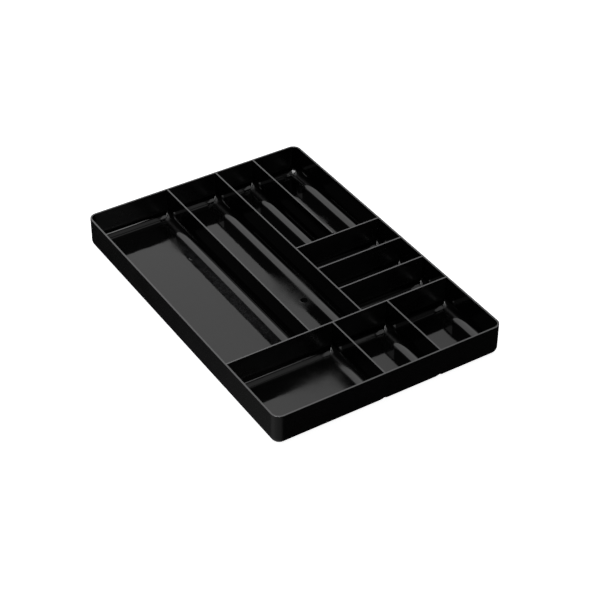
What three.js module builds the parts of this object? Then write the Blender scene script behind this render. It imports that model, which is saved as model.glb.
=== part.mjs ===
// Drawer organizer tray: a shallow black plastic tray with ten coved compartments.
// Millimetres, +Z up. The origin is the middle of the underside. X runs across the tray and
// Y along it, with the row of three compartments at the front, towards -Y.
import * as THREE from "three";

// Clear widths of the compartments at the rim, along X from the left
const LEFT_LONG_WIDTH = 99.8;
const MIDDLE_LONG_WIDTH = 62.9;
const BACK_INNER_WIDTH = 49.05;
const BACK_OUTER_WIDTH = 58.25;
const FRONT_LEFT_WIDTH = 127.95;
const FRONT_MIDDLE_WIDTH = 67.3;

// Clear lengths of the compartments at the rim, along Y from the front
const FRONT_ROW_LENGTH = 95.65;
const CROSS_FRONT_LENGTH = 42.6;
const CROSS_MIDDLE_LENGTH = 39.95;
const CROSS_BACK_LENGTH = 42.4;
const BACK_LENGTH = 174.6;

// Thicknesses and heights; walls are measured at the rim and grow downwards by the draft
const OUTER_WALL = 2.0;
const DIVIDER = 1.8;
const FLOOR = 2.0;
const DEPTH = 36.1;
const DRAFT = THREE.MathUtils.degToRad(0.5);

// Roundings
const OUTER_CORNER_RADIUS = 10.0;
const COVE_RADIUS = 11.2;
const BASE_EDGE_RADIUS = 8.5;

// Straight stretch of wall that each pan keeps above its coves
const PAN_LIP = 0.8;

// V-groove under each divider
const GROOVE_HALF_WIDTH = 5.6;
const GROOVE_HEIGHT = 5.0;

// Facets along each round stretch
const CORNER_STEPS = 6;
const COVE_STEPS = 8;
const EDGE_STEPS = 5;

// Black plastic with a half gloss
const PLASTIC_COLOUR = 0x17181a;
const PLASTIC_ROUGHNESS = 0.3;

// Overall sizes and levels
const WIDTH = 2 * OUTER_WALL + 3 * DIVIDER
  + LEFT_LONG_WIDTH + MIDDLE_LONG_WIDTH + BACK_INNER_WIDTH + BACK_OUTER_WIDTH;
const LENGTH = 2 * OUTER_WALL + 4 * DIVIDER
  + FRONT_ROW_LENGTH + CROSS_FRONT_LENGTH + CROSS_MIDDLE_LENGTH + CROSS_BACK_LENGTH + BACK_LENGTH;
const HEIGHT = FLOOR + DEPTH;
const COVE_TOP = FLOOR + COVE_RADIUS;
const PAN_TOP = COVE_TOP + PAN_LIP;

// Outside faces
const LEFT = -WIDTH / 2;
const RIGHT = WIDTH / 2;
const FRONT = -LENGTH / 2;
const BACK = LENGTH / 2;

// Middle planes of the dividers
const LEFT_LONG_X = LEFT + OUTER_WALL + LEFT_LONG_WIDTH + DIVIDER / 2;
const MIDDLE_LONG_X = LEFT_LONG_X + DIVIDER + MIDDLE_LONG_WIDTH;
const BACK_X = MIDDLE_LONG_X + DIVIDER + BACK_INNER_WIDTH;
const FRONT_LEFT_X = LEFT + OUTER_WALL + FRONT_LEFT_WIDTH + DIVIDER / 2;
const FRONT_RIGHT_X = FRONT_LEFT_X + DIVIDER + FRONT_MIDDLE_WIDTH;
const MAIN_Y = FRONT + OUTER_WALL + FRONT_ROW_LENGTH + DIVIDER / 2;
const CROSS_FRONT_Y = MAIN_Y + DIVIDER + CROSS_FRONT_LENGTH;
const CROSS_MIDDLE_Y = CROSS_FRONT_Y + DIVIDER + CROSS_MIDDLE_LENGTH;
const CROSS_BACK_Y = CROSS_MIDDLE_Y + DIVIDER + CROSS_BACK_LENGTH;

// Growth of one wall face by the draft, from the rim down to a level
const drafted = (z) => (HEIGHT - z) * Math.tan(DRAFT);

// Wall between a footprint line and the compartment: the whole outer wall or half a divider
const isOuter = (line) => [LEFT, RIGHT, FRONT, BACK].includes(line);
const wallAt = (line, z) => (isOuter(line) ? OUTER_WALL : DIVIDER / 2) + drafted(z);

// Radius inside the tray's round corners, where the wall keeps its thickness
const innerCornerRadius = (z, inset) => Math.max(0, OUTER_CORNER_RADIUS - wallAt(LEFT, z) - inset);

// Points of a rectangle with one radius for each corner, anticlockwise from the front left one
function roundRectangle([x0, x1], [y0, y1], radii, z) {
  const corners = [[x0, y0, 1, 1], [x1, y0, -1, 1], [x1, y1, -1, -1], [x0, y1, 1, -1]];
  return corners.flatMap(([x, y, inX, inY], i) => {
    const radius = radii[i];
    const start = Math.PI + (i * Math.PI) / 2;
    const arc = new THREE.EllipseCurve(
      x + inX * radius, y + inY * radius, radius, radius, start, start + Math.PI / 2,
    );
    return arc.getPoints(CORNER_STEPS).map((p) => new THREE.Vector3(p.x, p.y, z));
  });
}

const SHARP = [0, 0, 0, 0];

// Skins outlines that all have as many points into one closed solid. An open row of outlines
// gets a flat cap at each end, and a ring joins its last outline to its first.
function skin(outlines, isRing = false) {
  const vertices = [];
  const numbers = new Map();
  const numberOf = (p) => {
    const key = [p.x, p.y, p.z].map((v) => Math.round(v * 1e4)).join();
    if (!numbers.has(key)) {
      numbers.set(key, vertices.length);
      vertices.push(p);
    }
    return numbers.get(key);
  };
  const triangles = [];
  const addTriangle = (...points) => {
    const corners = points.map(numberOf);
    if (new Set(corners).size === 3) triangles.push(...corners);
  };
  const rows = isRing ? [...outlines, outlines[0]] : outlines;
  for (let row = 1; row < rows.length; row += 1) {
    const [lower, upper] = [rows[row - 1], rows[row]];
    lower.forEach((corner, i) => {
      const next = (i + 1) % lower.length;
      addTriangle(corner, lower[next], upper[next]);
      addTriangle(corner, upper[next], upper[i]);
    });
  }
  if (!isRing) {
    const first = outlines[0];
    const last = outlines[outlines.length - 1];
    const cap = (outline) => THREE.ShapeUtils.triangulateShape(outline, []);
    cap(first).forEach(([a, b, c]) => addTriangle(first[c], first[b], first[a]));
    cap(last).forEach(([a, b, c]) => addTriangle(last[a], last[b], last[c]));
  }
  const geometry = new THREE.BufferGeometry().setFromPoints(vertices);
  geometry.setIndex(triangles);
  geometry.computeVertexNormals();
  return geometry;
}

function addPiece(name, geometry) {
  const material = new THREE.MeshStandardMaterial({
    color: PLASTIC_COLOUR, roughness: PLASTIC_ROUGHNESS, metalness: 0,
  });
  const mesh = new THREE.Mesh(geometry, material);
  mesh.name = name;
  tray.add(mesh);
}

// How far the underside draws in from a footprint line: a round edge outside, a groove inside
function baseInset(line, z) {
  if (!isOuter(line)) return GROOVE_HALF_WIDTH * Math.max(0, 1 - z / GROOVE_HEIGHT);
  const drop = Math.max(0, BASE_EDGE_RADIUS - z);
  return BASE_EDGE_RADIUS - Math.sqrt(BASE_EDGE_RADIUS ** 2 - drop ** 2);
}

// Levels of the underside: along the round edge, at the top of the groove and under the wall
function baseLevels() {
  const levels = [GROOVE_HEIGHT, PAN_TOP];
  for (let step = 0; step <= EDGE_STEPS; step += 1) {
    const turn = (step / EDGE_STEPS) * (Math.PI / 2);
    levels.push(BASE_EDGE_RADIUS * (1 - Math.cos(turn)));
  }
  return levels.sort((a, b) => a - b);
}

// One compartment's floor with its coves, from the middle planes of the dividers around it
// to the outside of the tray. The walls stand on its flat top edge.
function addPan(name, xs, ys) {
  const onTrayCorner = [[0, 0], [1, 0], [1, 1], [0, 1]].map(
    ([i, j]) => isOuter(xs[i]) && isOuter(ys[j]),
  );
  const outline = (insetOf, radiusAt, z) => roundRectangle(
    [xs[0] + insetOf(xs[0]), xs[1] - insetOf(xs[1])],
    [ys[0] + insetOf(ys[0]), ys[1] - insetOf(ys[1])],
    onTrayCorner.map(radiusAt),
    z,
  );
  const outside = (z) => outline(
    (line) => baseInset(line, z),
    (isCorner) => (isCorner ? Math.max(0, OUTER_CORNER_RADIUS - baseInset(LEFT, z)) : 0),
    z,
  );
  const inside = (z, coveInset) => outline(
    (line) => wallAt(line, Math.max(z, COVE_TOP)) + coveInset,
    (isCorner) => (isCorner ? innerCornerRadius(Math.max(z, COVE_TOP), coveInset) : 0),
    z,
  );
  const cove = [];
  for (let step = 0; step <= COVE_STEPS; step += 1) {
    const turn = (step / COVE_STEPS) * (Math.PI / 2);
    const z = COVE_TOP - COVE_RADIUS * Math.sin(turn);
    cove.push(inside(z, COVE_RADIUS * (1 - Math.cos(turn))));
  }
  addPiece(name, skin([...baseLevels().map(outside), inside(PAN_TOP, 0), ...cove]));
}

// The wall round the tray, standing on the outer edges of the pans
function addOuterWall() {
  const outline = (inset, radius, z) => roundRectangle(
    [LEFT + inset, RIGHT - inset], [FRONT + inset, BACK - inset], Array(4).fill(radius), z,
  );
  const outside = (z) => outline(0, OUTER_CORNER_RADIUS, z);
  const inside = (z) => outline(wallAt(LEFT, z), innerCornerRadius(z, 0), z);
  const outlines = [outside(PAN_TOP), outside(HEIGHT), inside(HEIGHT), inside(PAN_TOP)];
  addPiece("outer_wall", skin(outlines, true));
}

// A divider along X or Y with its middle plane at `across`, between the faces of the walls that
// stand on the lines `from` and `to`
function addDivider(name, axis, across, [from, to]) {
  const outline = (z) => {
    const half = wallAt(across, z);
    const ends = [from + wallAt(from, z), to - wallAt(to, z)];
    const sides = [across - half, across + half];
    return axis === "x" ? roundRectangle(ends, sides, SHARP, z) : roundRectangle(sides, ends, SHARP, z);
  };
  addPiece(name, skin([outline(PAN_TOP), outline(HEIGHT)]));
}

const tray = new THREE.Group();

addOuterWall();

addPan("left_long_pan", [LEFT, LEFT_LONG_X], [MAIN_Y, BACK]);
addPan("middle_long_pan", [LEFT_LONG_X, MIDDLE_LONG_X], [MAIN_Y, BACK]);
addPan("back_inner_pan", [MIDDLE_LONG_X, BACK_X], [CROSS_BACK_Y, BACK]);
addPan("back_outer_pan", [BACK_X, RIGHT], [CROSS_BACK_Y, BACK]);
addPan("cross_back_pan", [MIDDLE_LONG_X, RIGHT], [CROSS_MIDDLE_Y, CROSS_BACK_Y]);
addPan("cross_middle_pan", [MIDDLE_LONG_X, RIGHT], [CROSS_FRONT_Y, CROSS_MIDDLE_Y]);
addPan("cross_front_pan", [MIDDLE_LONG_X, RIGHT], [MAIN_Y, CROSS_FRONT_Y]);
addPan("front_left_pan", [LEFT, FRONT_LEFT_X], [FRONT, MAIN_Y]);
addPan("front_middle_pan", [FRONT_LEFT_X, FRONT_RIGHT_X], [FRONT, MAIN_Y]);
addPan("front_right_pan", [FRONT_RIGHT_X, RIGHT], [FRONT, MAIN_Y]);

addDivider("main_divider", "x", MAIN_Y, [LEFT, RIGHT]);
addDivider("left_long_divider", "y", LEFT_LONG_X, [MAIN_Y, BACK]);
addDivider("middle_long_divider", "y", MIDDLE_LONG_X, [MAIN_Y, BACK]);
addDivider("back_divider", "y", BACK_X, [CROSS_BACK_Y, BACK]);
addDivider("cross_back_divider", "x", CROSS_BACK_Y, [MIDDLE_LONG_X, RIGHT]);
addDivider("cross_middle_divider", "x", CROSS_MIDDLE_Y, [MIDDLE_LONG_X, RIGHT]);
addDivider("cross_front_divider", "x", CROSS_FRONT_Y, [MIDDLE_LONG_X, RIGHT]);
addDivider("front_left_divider", "y", FRONT_LEFT_X, [FRONT, MAIN_Y]);
addDivider("front_right_divider", "y", FRONT_RIGHT_X, [FRONT, MAIN_Y]);

export default tray;
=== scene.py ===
"""Drawer organizer tray in half-gloss black plastic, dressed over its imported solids."""
import math

import bmesh
import bpy
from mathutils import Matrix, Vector, noise


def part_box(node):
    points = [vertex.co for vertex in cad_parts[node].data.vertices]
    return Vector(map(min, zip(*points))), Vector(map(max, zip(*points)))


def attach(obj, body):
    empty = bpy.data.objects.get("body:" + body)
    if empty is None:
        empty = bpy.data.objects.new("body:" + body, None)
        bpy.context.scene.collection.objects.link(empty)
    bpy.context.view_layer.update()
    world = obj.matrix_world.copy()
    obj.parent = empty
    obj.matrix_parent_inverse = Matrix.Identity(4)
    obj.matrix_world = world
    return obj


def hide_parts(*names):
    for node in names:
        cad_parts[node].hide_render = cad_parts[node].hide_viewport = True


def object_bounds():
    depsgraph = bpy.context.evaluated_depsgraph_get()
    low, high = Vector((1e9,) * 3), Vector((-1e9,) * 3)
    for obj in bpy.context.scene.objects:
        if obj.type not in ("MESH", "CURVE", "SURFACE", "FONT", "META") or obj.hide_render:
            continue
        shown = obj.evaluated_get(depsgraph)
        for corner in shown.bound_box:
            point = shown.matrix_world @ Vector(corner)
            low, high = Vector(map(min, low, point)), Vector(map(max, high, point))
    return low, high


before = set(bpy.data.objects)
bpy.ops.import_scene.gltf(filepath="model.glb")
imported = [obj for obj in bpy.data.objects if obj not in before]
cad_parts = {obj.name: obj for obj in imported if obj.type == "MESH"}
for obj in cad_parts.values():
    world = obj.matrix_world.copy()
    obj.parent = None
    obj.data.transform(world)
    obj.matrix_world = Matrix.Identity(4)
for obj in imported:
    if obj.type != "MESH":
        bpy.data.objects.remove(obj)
CAD_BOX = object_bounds()

MM = 0.001

# Sizes that the dressed tray shares with its solids
OUTER_WALL = 2.0 * MM
DIVIDER = 1.8 * MM
FLOOR = 2.0 * MM
DRAFT = math.tan(math.radians(0.5))
OUTER_CORNER_RADIUS = 10.0 * MM
COVE_RADIUS = 11.2 * MM
BASE_EDGE_RADIUS = 8.5 * MM
GROOVE_HALF_WIDTH = 5.6 * MM

# Finer shapes that only the dressed tray has
VALLEY_RADIUS = 0.6 * MM
RIM_ROUND = 0.2 * MM
GROOVE_HEIGHT = 6.0 * MM
GROOVE_EDGE = 0.4 * MM
FLOOR_CELL = 5.0 * MM
FLOOR_CROWN = 0.12 * MM
FLOOR_RIPPLE = 0.03 * MM
RIPPLE_LENGTH = 28.0 * MM
RIPPLE_ONSET = 6
MARK_REACH = 5.5 * MM
MARK_CELL = 0.5 * MM
RING_WIDTH = 0.7 * MM
CORNER_FILL = 1.7 * MM
CORNER_CLOSING = 0.6

# Facets along each round stretch
CORNER_STEPS = 8
COVE_STEPS = 16
EDGE_STEPS = 10
RIM_STEPS = 5

# Nearness at which lines or points count as one, and the bend that counts as a sharp edge
SAME_LINE = 0.01 * MM
SAME_POINT = 0.0001 * MM
SHARP_BEND = math.radians(32)

# Where a finish changes: length and top of a wall's glossy end, and limits of a face's normal
GLOSSY_END = 18.0 * MM
GLOSSY_TOP = 34.0 * MM
SQUARE_ON = 0.95
UPRIGHT = 0.3
FACING_DOWN = -0.01

# Moulding marks on the floors, in millimetres: place, radius and height of a raised ring
MARKS = {
    "middle_long_pan": [(9.8, -19.2, 3.6, 0.10)],
    "left_long_pan": [(-55.8, 112.9, 2.3, 0.08), (-54.3, 187.5, 0.4, 0.12)],
    "back_outer_pan": [(122.0, 111.6, 1.8, 0.08)],
}

# Wear sets in over this margin round the largest mark, in millimetres
FRESH_MARGIN = 0.8

# Patches of floor that use has dulled: place and half widths in millimetres, added roughness
WORN_PATCHES = [
    (-42, -142, 62, 58, 0.2),
    (8, 4, 44, 46, 0.25),
    (11, -21, 15, 17, 0.1),
    (-56, 142, 24, 24, 0.14),
    (108, 98, 14, 14, 0.12),
]

# Dust with painted haze on the floor: a lighter speckled grey strip beside the left long divider
# that stands in for haze light there; place and half widths in millimetres, strength
FLOOR_DUST_AND_PAINTED_HAZE = [(-54, 25, 15, 190, 1.65)]

# Noise in the finishes: cycles per metre and levels of detail
CLOUD_NOISE = (35, 5)
RUB_NOISE = (260, 3)
GRAIN_NOISE = (2500, 2)
SWELL_NOISE = (70, 2)
WEAR_NOISE = (90, 3)
TINT_NOISE = (60, 4)
DUST_AND_HAZE_NOISE = (320, 4)
STAGE_NOISE = (2, 3)

# How far the noise moves the roughness: clouds, rub marks along the tray, worn patches
CLOUDINESS = 0.2
RUB_DULLING = 0.25
RUB_RANGE = (0.55, 0.8)
RUB_STRETCH = (1, 0.08, 1)
WEAR_RANGE = (0.7, 1)

# Bumps of the plastic: fine grain and slow swells
GRAIN_HEIGHT = 0.02 * MM
SWELL_HEIGHT = 0.15 * MM
SWELL_STRENGTH = 0.35

# Greys of the plastic and of the dust with its painted haze, with a slight cast
DEEP_BLACK = 0.0012
CLOUDY_BLACK = 0.0019
DUST_AND_HAZE_GREY = 0.03
BLUE_CAST = 1.05

# Where the dust with its painted haze starts on the ramp of tints, and how far its speckle goes up
# that ramp
DUST_AND_HAZE_START = 0.5
DUST_AND_HAZE_COVER = (0.26, 0.48)

# Floor of the stage
STAGE_RADIUS = 20
STAGE_DROP = 0.2 * MM
STAGE_FACETS = 96
STAGE_ROUGHNESS = 0.9
STAGE_GLOSS = 0.1
STAGE_GLOW = 0.95
STAGE_GREYS = (0.88, 0.92)

# Slope of the lower edge of the light behind the tray, which falls to the right
BACK_LIGHT_TILT = 0.29

# Softboxes: place, aim, size, radiance and spread in degrees
SOFTBOXES = {
    "key_softbox": ((-1.016, -0.635, 1.845), (0, 0, 0), (1.8, 0.84), 9, 180),
    "upper_softbox": ((-0.45, -0.17, 2.1), (0.13, 0.2, 0), (0.7, 0.42), 8, 180),
    "front_strip": ((0.235, -0.82, 0.565), (-0.19, 0.2, 0.007), (0.27, 0.2), 4.6, 24),
}

# Level panels overhead, from the tray's middle to a right edge: that edge, front and back edge
TOP_PANELS = {
    "back_top_panel": (0.78, 0.22, 0.8),
    "middle_top_panel": (0.84, -0.45, -0.05),
    "front_top_panel": (0.96, -1.45, -0.45),
}
TOP_PANEL_HEIGHT = 1.6
TOP_PANEL_RADIANCE = 0.36

# Camera, as fitted to the photograph's 590 by 590 frame
IMAGE_SIDE = 590
CAMERA_AZIMUTH = math.radians(-31.99)
CAMERA_ELEVATION = math.radians(37.89)
CAMERA_DISTANCE = 1.948
FOCAL_PIXELS = 1767.6
ORIGIN_PIXEL = (286.8, 295.7)
SENSOR_WIDTH = 36
CLIP_END = 100

HEIGHT = CAD_BOX[1].z
COVE_TOP = FLOOR + COVE_RADIUS
PAN_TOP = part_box("left_long_pan")[1].z
OUTER_LINES = [CAD_BOX[0].x, CAD_BOX[1].x, CAD_BOX[0].y, CAD_BOX[1].y]

PANS = [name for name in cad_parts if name.endswith("_pan")]
DIVIDERS = [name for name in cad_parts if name.endswith("_divider")]


def is_outer(line):
    """Whether a footprint line lies on the outside of the tray."""
    return any(abs(line - outer) < SAME_LINE for outer in OUTER_LINES)


# Middle planes of the dividers, where the pans on either side meet
MIDDLE_LINES = [
    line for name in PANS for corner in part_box(name) for line in corner[:2] if not is_outer(line)
]


def wall_at(line, z):
    """Wall between a footprint line and a compartment: the outer wall or half a divider."""
    return (OUTER_WALL if is_outer(line) else DIVIDER / 2) + (HEIGHT - z) * DRAFT


def inner_corner(z):
    """Radius of the tray's corners on the inside, filled a little towards the foot."""
    fill = CORNER_FILL * (HEIGHT - z) / (HEIGHT - PAN_TOP)
    return OUTER_CORNER_RADIUS - wall_at(OUTER_LINES[0], z) + fill


def arc(centre, radius, start, turn, z):
    """Points along a part of a circle, all at one height."""
    angles = [start + turn * step / CORNER_STEPS for step in range(CORNER_STEPS + 1)]
    return [
        Vector((centre[0] + radius * math.cos(a), centre[1] + radius * math.sin(a), z))
        for a in angles
    ]


def round_rectangle(xs, ys, radii, z, splits=((), ())):
    """Outline of a rectangle with round corners, anticlockwise from its front left corner.

    The splits are fractions of the straight runs, along x and along y, where points are added.
    """
    corners = [
        (xs[0], ys[0], 1, 1),
        (xs[1], ys[0], -1, 1),
        (xs[1], ys[1], -1, -1),
        (xs[0], ys[1], 1, -1),
    ]
    arcs = []
    for number, ((x, y, in_x, in_y), radius) in enumerate(zip(corners, radii)):
        centre = (x + in_x * radius, y + in_y * radius)
        arcs.append(arc(centre, radius, math.pi * (1 + number / 2), math.pi / 2, z))
    points = []
    for number, corner in enumerate(arcs):
        points += corner
        end = arcs[(number + 1) % 4][0]
        shares = splits[number % 2]
        if number > 1:
            shares = [1 - share for share in reversed(shares)]
        points += [corner[-1].lerp(end, share) for share in shares]
    return points


class Skin:
    """A mesh made of outlines and loose faces, with points in one place shared."""

    def __init__(self):
        self.mesh = bmesh.new()
        self.known = {}

    def vertex(self, point):
        """The vertex at a point, made when it is first asked for."""
        key = tuple(round(value / SAME_POINT) for value in point)
        if key not in self.known:
            self.known[key] = self.mesh.verts.new(point)
        return self.known[key]

    def face(self, points):
        """A face through the points, unless they fall together or it is there already."""
        corners = list(dict.fromkeys(self.vertex(point) for point in points))
        if len(corners) > 2 and not self.mesh.faces.get(corners):
            self.mesh.faces.new(corners)

    def rows(self, outlines, is_ring=False):
        """Faces from each outline to the next one, and in a ring from the last to the first."""
        for lower, upper in zip(outlines, outlines[1:] + outlines[:1] * is_ring):
            for i, point in enumerate(lower):
                j = (i + 1) % len(lower)
                self.face([point, lower[j], upper[j], upper[i]])

    def piece(self, name, pick):
        """Turns the skin into an object that stands for the node of the same name."""
        bmesh.ops.recalc_face_normals(self.mesh, faces=self.mesh.faces)
        data = bpy.data.meshes.new(name + "_moulding")
        self.mesh.to_mesh(data)
        self.mesh.free()
        for finish in FINISHES:
            data.materials.append(finish)
        for polygon in data.polygons:
            polygon.use_smooth = True
            polygon.material_index = FINISHES.index(pick(polygon))
        data.set_sharp_from_angle(angle=SHARP_BEND)
        piece = bpy.data.objects.new(name + "_moulding", data)
        bpy.context.scene.collection.objects.link(piece)
        weighted = piece.modifiers.new("weighted_normals", "WEIGHTED_NORMAL")
        weighted.keep_sharp = True
        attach(piece, "root")
        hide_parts(name)


# Materials


def link_noise(nodes, links, place, scale, detail, stretch=(1, 1, 1)):
    """A noise texture in the tray's own coordinates; scale is cycles per metre."""
    mapping = nodes.new("ShaderNodeMapping")
    mapping.inputs["Scale"].default_value = stretch
    links.new(place, mapping.inputs["Vector"])
    texture = nodes.new("ShaderNodeTexNoise")
    texture.inputs["Scale"].default_value = scale
    texture.inputs["Detail"].default_value = detail
    links.new(mapping.outputs["Vector"], texture.inputs["Vector"])
    return texture.outputs["Fac"]


def link_range(nodes, links, value, low, high, start=0.3, end=0.7):
    """Goes from low to high as the value goes from start to end, and is held beyond them."""
    ranged = nodes.new("ShaderNodeMapRange")
    ranged.inputs["From Min"].default_value = start
    ranged.inputs["From Max"].default_value = end
    ranged.inputs["To Min"].default_value = low
    ranged.inputs["To Max"].default_value = high
    links.new(value, ranged.inputs["Value"])
    return ranged.outputs["Result"]


def link_patch(nodes, links, place, patch, inner=0.25):
    """One in the middle of a patch, falling to nothing at its edge."""
    x, y, half_x, half_y = patch
    mapping = nodes.new("ShaderNodeMapping")
    mapping.inputs["Scale"].default_value = (1 / (half_x * MM), 1 / (half_y * MM), 0)
    mapping.inputs["Location"].default_value = (-x / half_x, -y / half_y, 0)
    links.new(place, mapping.inputs["Vector"])
    away = nodes.new("ShaderNodeVectorMath")
    away.operation = "LENGTH"
    links.new(mapping.outputs["Vector"], away.inputs[0])
    return link_range(nodes, links, away.outputs["Value"], 1, 0, inner, 1)


def link_math(nodes, links, operation, *values):
    """A math node; each value is a number or another node's output."""
    node = nodes.new("ShaderNodeMath")
    node.operation = operation
    for socket, value in zip(node.inputs, values):
        if isinstance(value, (int, float)):
            socket.default_value = value
        else:
            links.new(value, socket)
    return node.outputs["Value"]


def link_wear(nodes, links, place, roughness):
    """Adds the worn patches to a roughness, apart from the fresh disc inside the largest mark."""
    x, y, radius, _ = MARKS["middle_long_pan"][0]
    reach = radius + FRESH_MARGIN
    fresh = link_patch(nodes, links, place, (x, y, reach, reach), radius / reach)
    patchy = link_range(nodes, links, link_noise(nodes, links, place, *WEAR_NOISE), *WEAR_RANGE)
    kept = link_math(nodes, links, "MAXIMUM", link_math(nodes, links, "SUBTRACT", patchy, fresh), 0)
    for *patch, added in WORN_PATCHES:
        near = link_patch(nodes, links, place, patch)
        share = link_math(nodes, links, "MULTIPLY", near, added)
        roughness = link_math(nodes, links, "MULTIPLY_ADD", share, kept, roughness)
    return roughness


def link_tint(nodes, links, place, pale, dust_and_haze):
    """Cloudy black, greyer where dust lies, with painted haze light in that lighter grey."""
    clouds = link_noise(nodes, links, place, *TINT_NOISE)
    fraction = link_range(nodes, links, clouds, 0, DUST_AND_HAZE_START, 0, 1)
    for *patch, strength in dust_and_haze:
        near = link_patch(nodes, links, place, patch)
        speckle = link_noise(nodes, links, place, *DUST_AND_HAZE_NOISE)
        mottle = link_range(nodes, links, speckle, *[cover * strength for cover in DUST_AND_HAZE_COVER])
        fraction = link_math(nodes, links, "MULTIPLY_ADD", near, mottle, fraction)
    tint = nodes.new("ShaderNodeValToRGB")
    tint.color_ramp.elements.new(DUST_AND_HAZE_START)
    # A pale above one lightens the blacks: a painted highlight on the rim tops
    greys = (DEEP_BLACK * pale, CLOUDY_BLACK * pale, DUST_AND_HAZE_GREY)
    for element, grey in zip(tint.color_ramp.elements, greys):
        element.color = (grey, grey, BLUE_CAST * grey, 1)
    links.new(fraction, tint.inputs["Fac"])
    return tint.outputs["Color"]


def black_plastic(name, roughness, grain, gloss, is_worn=False, pale=1, dust_and_haze=()):
    """Moulded black plastic: cloudy gloss, fine grain, slow swells and faint rub marks."""
    material = bpy.data.materials.new(name)
    material.use_nodes = True
    nodes = material.node_tree.nodes
    links = material.node_tree.links
    shader = nodes["Principled BSDF"]
    shader.inputs["Specular IOR Level"].default_value = gloss
    place = nodes.new("ShaderNodeTexCoord").outputs["Object"]
    links.new(link_tint(nodes, links, place, pale, dust_and_haze), shader.inputs["Base Color"])

    clouds = link_noise(nodes, links, place, *CLOUD_NOISE)
    rubs = link_noise(nodes, links, place, *RUB_NOISE, stretch=RUB_STRETCH)
    least = roughness * (1 - CLOUDINESS)
    most = roughness * (1 + CLOUDINESS)
    cloudy = link_range(nodes, links, clouds, least, most)
    rubbed = link_range(nodes, links, rubs, 0, roughness * RUB_DULLING, *RUB_RANGE)
    roughened = link_math(nodes, links, "ADD", cloudy, rubbed)
    if is_worn:
        roughened = link_wear(nodes, links, place, roughened)
    links.new(roughened, shader.inputs["Roughness"])

    fine = nodes.new("ShaderNodeBump")
    fine.inputs["Strength"].default_value = grain
    fine.inputs["Distance"].default_value = GRAIN_HEIGHT
    links.new(link_noise(nodes, links, place, *GRAIN_NOISE), fine.inputs["Height"])
    slow = nodes.new("ShaderNodeBump")
    slow.inputs["Strength"].default_value = SWELL_STRENGTH
    slow.inputs["Distance"].default_value = SWELL_HEIGHT
    links.new(link_noise(nodes, links, place, *SWELL_NOISE), slow.inputs["Height"])
    links.new(fine.outputs["Normal"], slow.inputs["Normal"])
    links.new(slow.outputs["Normal"], shader.inputs["Normal"])
    return material


# Finishes: name, roughness, strength of the grain and gloss
# The polished floors carry the dust strip, whose lighter grey paints in haze light
POLISHED = black_plastic("polished_black_plastic", 0.06, 0.1, 0.5, is_worn=True, dust_and_haze=FLOOR_DUST_AND_PAINTED_HAZE)
DRAWN = black_plastic("drawn_black_plastic", 0.08, 0.1, 0.01)
SHELTERED = black_plastic("sheltered_black_plastic", 0.07, 0.1, 0.36)
BRUSHED = black_plastic("brushed_black_plastic", 0.3, 0.1, 0.6)
# The two rim finishes are paler: a painted highlight, a lighter grey on the rim tops, strongest on
# the dividers that run along x
BURNISHED_RIM_PAINTED_HIGHLIGHT = black_plastic("burnished_black_plastic_painted_highlight", 0.1, 0.1, 1.0, pale=10)
RUBBED_RIM_PAINTED_HIGHLIGHT = black_plastic("rubbed_black_plastic_painted_highlight", 0.12, 0.1, 1.0, pale=40)
SATIN = black_plastic("satin_black_plastic", 0.2, 0.12, 0.1)
FINISHES = [POLISHED, DRAWN, SHELTERED, BRUSHED, BURNISHED_RIM_PAINTED_HIGHLIGHT, RUBBED_RIM_PAINTED_HIGHLIGHT, SATIN]


# Pieces of the tray


def faces_away(polygon, middle):
    """Whether a face looks away from a middle, as seen from above."""
    return polygon.normal.xy.dot((polygon.center - middle).xy) > 0


def inner_finish(polygon, back_lines=()):
    """Finish of a face inside a compartment.

    Floors and coves are polished where they aren't steep. Walls square to the tray's length are
    brushed. The others are dulled by drawing from the mould, less so below the rim where they
    come near a back corner.
    """
    if polygon.normal.z > UPRIGHT:
        return POLISHED
    if abs(polygon.normal.y) > SQUARE_ON:
        return BRUSHED
    by_corner = any(0 < line - polygon.center.y < GLOSSY_END for line in back_lines)
    is_square = abs(polygon.normal.x) > SQUARE_ON and polygon.center.z < GLOSSY_TOP
    return SHELTERED if by_corner and is_square else DRAWN


def base_inset(line, z):
    """How far the underside draws in: a round edge outside, a groove under a divider."""
    if not is_outer(line):
        arch = GROOVE_HALF_WIDTH * (1 - (z / GROOVE_HEIGHT) ** 2)
        soften = max(0.0, 1 - z / GROOVE_EDGE) ** 2 * GROOVE_EDGE
        return max(0.0, arch) + soften
    drop = max(0.0, BASE_EDGE_RADIUS - z)
    return BASE_EDGE_RADIUS - math.sqrt(max(0.0, BASE_EDGE_RADIUS**2 - drop**2))


def base_levels():
    """Heights of the outlines up the outside of a pan."""
    turns = [math.pi / 2 * step / EDGE_STEPS for step in range(EDGE_STEPS + 1)]
    levels = [BASE_EDGE_RADIUS * (1 - math.cos(turn)) for turn in turns]
    return sorted(levels + [GROOVE_EDGE / 2, GROOVE_EDGE, GROOVE_HEIGHT, PAN_TOP])


def mark_height(marks, point):
    """A mark is a fine raised ring."""
    height = 0.0
    for x, y, radius, rise in marks:
        away = math.hypot(point.x - x * MM, point.y - y * MM) - radius * MM
        height += rise * MM * math.exp(-((away / RING_WIDTH) ** 2))
    return height


def floor_height(u, v, point):
    """Height of a pan's floor: slightly crowned between the coves, with faint ripples."""
    inner = (1 - (2 * u - 1) ** 2) * (1 - (2 * v - 1) ** 2)
    ripple = noise.noise(point / RIPPLE_LENGTH)
    return FLOOR + FLOOR_CROWN * inner + FLOOR_RIPPLE * ripple * min(1, RIPPLE_ONSET * inner)


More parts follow.
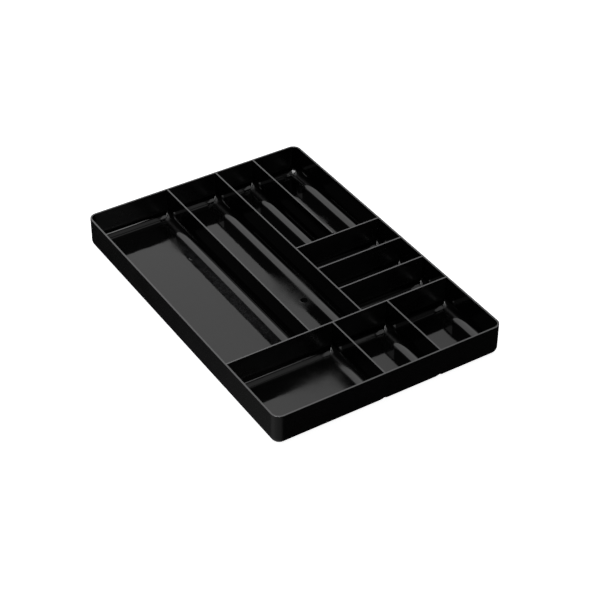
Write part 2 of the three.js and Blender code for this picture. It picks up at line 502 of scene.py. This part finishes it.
def floor_splits(low, high, places):
    """Fractions of a floor's run where its grid has lines: even cells, and fine ones at marks."""
    count = max(2, round((high - low) / FLOOR_CELL))
    lines = [low + (high - low) * step / count for step in range(1, count)]
    fine = round(MARK_REACH / MARK_CELL)
    for place in places:
        lines = [line for line in lines if abs(line - place) > MARK_REACH + MARK_CELL]
    for place in places:
        around = [place + step * MARK_CELL for step in range(-fine, fine + 1)]
        lines += [
            line for line in around if all(abs(line - other) > MARK_CELL / 2 for other in lines)
        ]
    inside = [line for line in sorted(lines) if low + MARK_CELL / 2 < line < high - MARK_CELL / 2]
    return [(line - low) / (high - low) for line in inside]


def lay_floor(skin, outline, splits, marks):
    """Fills the outline at the foot of the coves with a grid."""
    across, along = [len(shares) + 1 for shares in splits]
    corner = CORNER_STEPS + 1
    starts = [
        0,
        corner + across - 1,
        2 * corner + across + along - 2,
        3 * corner + 2 * across + along - 3,
    ]
    front = outline[starts[0] + CORNER_STEPS : starts[1] + 1]
    right = outline[starts[1] + CORNER_STEPS : starts[2] + 1]
    back = outline[starts[2] + CORNER_STEPS : starts[3] + 1][::-1]
    left = (outline[starts[3] + CORNER_STEPS :] + outline[:1])[::-1]
    grid = []
    for i in range(across + 1):
        column = []
        for j in range(along + 1):
            point = Vector((front[i].x, left[j].y, FLOOR))
            u = (point.x - front[0].x) / (front[-1].x - front[0].x)
            v = (point.y - left[0].y) / (left[-1].y - left[0].y)
            point.z = floor_height(u, v, point) + mark_height(marks, point)
            column.append(point)
        grid.append(column)
    for i in range(across):
        for j in range(along):
            skin.face([grid[i][j], grid[i + 1][j], grid[i + 1][j + 1], grid[i][j + 1]])
        skin.face([front[i], front[i + 1], grid[i + 1][0], grid[i][0]])
        skin.face([grid[i][along], grid[i + 1][along], back[i + 1], back[i]])
    for j in range(along):
        skin.face([left[j], grid[0][j], grid[0][j + 1], left[j + 1]])
        skin.face([grid[across][j], right[j], right[j + 1], grid[across][j + 1]])
    posts = [grid[0][0], grid[across][0], grid[across][along], grid[0][along]]
    for start, post in zip(starts, posts):
        for step in range(CORNER_STEPS):
            skin.face([post, outline[start + step], outline[start + step + 1]])


def make_pan(name):
    """A compartment's floor and coves, with the grooves and round edges of its underside."""
    low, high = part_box(name)
    xs = (low.x, high.x)
    ys = (low.y, high.y)
    corners = ((0, 0), (1, 0), (1, 1), (0, 1))
    tray_corners = [is_outer(xs[i]) and is_outer(ys[j]) for i, j in corners]
    marks = MARKS.get(name, [])
    splits = []
    for axis, (start, end) in enumerate((xs, ys)):
        foot = start + wall_at(start, COVE_TOP) + COVE_RADIUS + VALLEY_RADIUS
        far_foot = end - wall_at(end, COVE_TOP) - COVE_RADIUS - VALLEY_RADIUS
        splits.append(floor_splits(foot, far_foot, [mark[axis] * MM for mark in marks]))

    def outline(inset, radius, z):
        return round_rectangle(
            (xs[0] + inset(xs[0]), xs[1] - inset(xs[1])),
            (ys[0] + inset(ys[0]), ys[1] - inset(ys[1])),
            [radius(on_corner) for on_corner in tray_corners],
            z,
            splits,
        )

    def outside(z):
        edge = OUTER_CORNER_RADIUS - base_inset(OUTER_LINES[0], z)
        return outline(lambda line: base_inset(line, z), lambda on: edge if on else 0, z)

    def inside(z, inset):
        top = max(z, COVE_TOP)
        edge = inner_corner(top) - CORNER_CLOSING * inset
        return outline(
            lambda line: wall_at(line, top) + inset, lambda on: edge if on else VALLEY_RADIUS, z
        )

    skin = Skin()
    rows = [outside(z) for z in base_levels()] + [inside(PAN_TOP, 0)]
    for step in range(COVE_STEPS + 1):
        turn = math.pi / 2 * step / COVE_STEPS
        z = COVE_TOP - COVE_RADIUS * math.sin(turn)
        rows.append(inside(z, COVE_RADIUS * (1 - math.cos(turn))))
    skin.rows(rows)
    skin.face(rows[0][::-1])
    lay_floor(skin, rows[-1], splits, marks)

    def pick(polygon):
        is_outside = polygon.normal.z < UPRIGHT and faces_away(polygon, (low + high) / 2)
        return SATIN if is_outside or polygon.normal.z < FACING_DOWN else inner_finish(polygon)

    skin.piece(name, pick)


def make_outer_wall():
    """The wall round the tray, with its rim rounded on both sides."""
    back_lines = [high.y for low, high in map(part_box, PANS) if is_outer(high.x)]
    start = OUTER_LINES[2] + OUTER_CORNER_RADIUS
    run = OUTER_LINES[3] - OUTER_CORNER_RADIUS - start
    cuts = [line - step for line in back_lines for step in (0, GLOSSY_END)]
    shares = sorted((cut - start) / run for cut in cuts if start < cut < start + run)

    def outline(inset, radius, z):
        return round_rectangle(
            (OUTER_LINES[0] + inset, OUTER_LINES[1] - inset),
            (OUTER_LINES[2] + inset, OUTER_LINES[3] - inset),
            [radius] * 4,
            z,
            ((), shares),
        )

    rows = [outline(0, OUTER_CORNER_RADIUS, PAN_TOP)]
    inner = []
    for step in range(RIM_STEPS + 1):
        turn = math.pi / 2 * step / RIM_STEPS
        z = HEIGHT - RIM_ROUND * (1 - math.sin(turn))
        inset = RIM_ROUND * (1 - math.cos(turn))
        rows.append(outline(inset, OUTER_CORNER_RADIUS - inset, z))
        wall = wall_at(OUTER_LINES[0], z) - inset
        inner.append(outline(wall, inner_corner(z) + inset, z))
    for z in (GLOSSY_TOP, PAN_TOP):
        inner.insert(0, outline(wall_at(OUTER_LINES[0], z), inner_corner(z), z))
    rows += inner[::-1]
    skin = Skin()
    skin.rows(rows, is_ring=True)

    def pick(polygon):
        if polygon.normal.z > UPRIGHT:
            # The rim top gets a painted highlight in its paler grey
            return BURNISHED_RIM_PAINTED_HIGHLIGHT
        is_outside = faces_away(polygon, Vector()) or polygon.normal.z < FACING_DOWN
        return SATIN if is_outside else inner_finish(polygon, back_lines)

    skin.piece("outer_wall", pick)


def make_divider(name):
    """A divider with a rounded top edge and ends that flare into the walls they meet."""
    low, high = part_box(name)
    along_x = high.x - low.x > high.y - low.y
    axis = 0 if along_x else 1
    across = (low[1 - axis] + high[1 - axis]) / 2

    def wall_behind(end):
        """Line of the wall that the divider runs into, from where its solid ends at the foot."""

        def miss(line):
            return abs(abs(end - line) - wall_at(line, PAN_TOP))

        return min(OUTER_LINES + MIDDLE_LINES, key=miss)

    lines = [wall_behind(low[axis]), wall_behind(high[axis])]

    def outline(z, inset):
        half = DIVIDER / 2 + (HEIGHT - z) * DRAFT
        start = lines[0] + wall_at(lines[0], z)
        end = lines[1] - wall_at(lines[1], z)
        # Flares: end of the divider, way inwards, side, and first angle in half turns
        flares = [(start, 1, -1, 1.0), (end, -1, -1, 0.5), (end, -1, 1, 0.0), (start, 1, 1, -0.5)]
        points = []
        for x, inward, side, turn in flares:
            centre = (x + inward * VALLEY_RADIUS, side * (half + VALLEY_RADIUS))
            points += arc(centre, VALLEY_RADIUS + inset, math.pi * turn, -math.pi / 2, z)
            if inward != side:
                points.append(Vector((end - GLOSSY_END, side * (half - inset), z)))
        if along_x:
            return [Vector((p.x, across + p.y, p.z)) for p in points]
        return [Vector((across - p.y, p.x, p.z)) for p in points]

    rows = [outline(PAN_TOP, 0), outline(GLOSSY_TOP, 0)]
    for step in range(RIM_STEPS + 1):
        turn = math.pi / 2 * step / RIM_STEPS
        z = HEIGHT - RIM_ROUND * (1 - math.sin(turn))
        rows.append(outline(z, RIM_ROUND * (1 - math.cos(turn))))
    skin = Skin()
    skin.rows(rows)
    skin.face(rows[0][::-1])
    skin.face(rows[-1])

    def pick(polygon):
        if polygon.normal.z > UPRIGHT:
            # Rim tops get a painted highlight, paler still on the dividers that run along x
            return RUBBED_RIM_PAINTED_HIGHLIGHT if along_x else BURNISHED_RIM_PAINTED_HIGHLIGHT
        return inner_finish(polygon, () if along_x else lines[1:])

    skin.piece(name, pick)


make_outer_wall()
for pan in PANS:
    make_pan(pan)
for divider in DIVIDERS:
    make_divider(divider)


# Floor, light and camera


def make_stage():
    """A pale floor that glows as a light table does."""
    data = bpy.data.meshes.new("stage_floor")
    mesh = bmesh.new()
    bmesh.ops.create_circle(mesh, cap_ends=True, segments=STAGE_FACETS, radius=STAGE_RADIUS)
    mesh.to_mesh(data)
    mesh.free()
    material = bpy.data.materials.new("pale_floor")
    material.use_nodes = True
    nodes = material.node_tree.nodes
    shader = nodes["Principled BSDF"]
    shader.inputs["Roughness"].default_value = STAGE_ROUGHNESS
    shader.inputs["Specular IOR Level"].default_value = STAGE_GLOSS
    shader.inputs["Emission Color"].default_value = (1, 1, 1, 1)
    shader.inputs["Emission Strength"].default_value = STAGE_GLOW
    tint = nodes.new("ShaderNodeValToRGB")
    for element, grey in zip(tint.color_ramp.elements, STAGE_GREYS):
        element.color = (grey, grey, grey, 1)
    links = material.node_tree.links
    place = nodes.new("ShaderNodeTexCoord").outputs["Object"]
    links.new(link_noise(nodes, links, place, *STAGE_NOISE), tint.inputs["Fac"])
    links.new(tint.outputs["Color"], shader.inputs["Base Color"])
    data.materials.append(material)
    stage_floor = bpy.data.objects.new("stage_floor", data)
    bpy.context.scene.collection.objects.link(stage_floor)
    stage_floor.location.z = -STAGE_DROP
    stage_floor.visible_glossy = False


def make_world():
    """A soft light dome: bright behind the tray and on its left, dim overhead and in front.

    Below the horizon it is dark, apart from a table's glow in front of the tray and on its left.
    """
    world = bpy.data.worlds.new("studio")
    world.use_nodes = True
    bpy.context.scene.world = world
    nodes = world.node_tree.nodes
    links = world.node_tree.links

    parts = nodes.new("ShaderNodeSeparateXYZ")
    links.new(nodes.new("ShaderNodeTexCoord").outputs["Generated"], parts.inputs["Vector"])
    x, y, z = parts.outputs

    def ramp(value, first, last, start, end):
        """Goes from a first strength to a last one between a start and an end of the value."""
        return link_range(nodes, links, value, first, last, start, end)

    def combine(operation, *values):
        return link_math(nodes, links, operation, *values)

    side = ramp(x, 1.55, 0.92, start=-0.6, end=0.5)
    behind = ramp(y, 0, 1, start=0.1, end=0.45)
    lift = ramp(combine("MULTIPLY_ADD", x, BACK_LIGHT_TILT, z), 0, 1, start=0.22, end=0.33)
    fade = ramp(x, 1.09, 0.9, start=0.385, end=0.49)
    back = combine("MULTIPLY", combine("MULTIPLY", behind, lift), fade)

    table = ramp(y, 0.8, 0, start=0.1, end=0.7)
    beside = ramp(x, 1, 0, start=-0.2, end=0.25)
    below = ramp(z, 1, 0, start=-0.3, end=-0.05)
    table_glow = combine("MULTIPLY", table, combine("MULTIPLY", beside, below))

    overhead = ramp(z, 0, 0.07, start=0.62, end=0.74)
    far_left = ramp(x, 0.27, 0.01, start=-0.75, end=-0.33)
    rest = combine("ADD", table_glow, combine("ADD", overhead, far_left))
    strength = combine("MULTIPLY_ADD", back, side, rest)
    links.new(strength, nodes["Background"].inputs["Strength"])
    nodes["Background"].inputs["Color"].default_value = (1, 1, 1, 1)


def make_softbox(name, place, aim, size, radiance, spread=180):
    """A flat light that shows in the gloss alone; a narrow spread is a grid in front of it."""
    half = math.radians(spread) / 2
    grid_gain = math.tan(half) / (math.tan(half) - half)
    data = bpy.data.lights.new(name, "AREA")
    data.shape = "RECTANGLE"
    data.size, data.size_y = size
    data.spread = 2 * half
    data.energy = radiance * math.pi * size[0] * size[1] / grid_gain
    softbox = bpy.data.objects.new(name, data)
    softbox.location = place
    softbox.rotation_euler = (Vector(aim) - Vector(place)).to_track_quat("-Z", "Y").to_euler()
    softbox.visible_diffuse = False
    bpy.context.scene.collection.objects.link(softbox)


def make_top_panel(name, right, front, back):
    """A softbox that hangs level overhead."""
    x = right / 2
    y = (front + back) / 2
    size = (right, back - front)
    make_softbox(name, (x, y, TOP_PANEL_HEIGHT), (x, y, 0), size, TOP_PANEL_RADIANCE)


def make_camera():
    """A camera at the photograph's angle, aimed at the middle of the underside."""
    data = bpy.data.cameras.new("camera")
    data.sensor_width = SENSOR_WIDTH
    data.lens = FOCAL_PIXELS / IMAGE_SIDE * data.sensor_width
    data.shift_x = (IMAGE_SIDE / 2 - ORIGIN_PIXEL[0]) / IMAGE_SIDE
    data.shift_y = (ORIGIN_PIXEL[1] - IMAGE_SIDE / 2) / IMAGE_SIDE
    data.clip_end = CLIP_END
    camera = bpy.data.objects.new("camera", data)
    outward = Vector((
        math.sin(CAMERA_AZIMUTH) * math.cos(CAMERA_ELEVATION),
        -math.cos(CAMERA_AZIMUTH) * math.cos(CAMERA_ELEVATION),
        math.sin(CAMERA_ELEVATION),
    ))
    camera.location = outward * CAMERA_DISTANCE
    camera.rotation_euler = (-outward).to_track_quat("-Z", "Y").to_euler()
    bpy.context.scene.collection.objects.link(camera)
    bpy.context.scene.camera = camera


make_stage()
make_world()
for softbox, settings in SOFTBOXES.items():
    make_softbox(softbox, *settings)
for panel, edges in TOP_PANELS.items():
    make_top_panel(panel, *edges)
make_camera()
bpy.context.scene.view_settings.view_transform = "Standard"
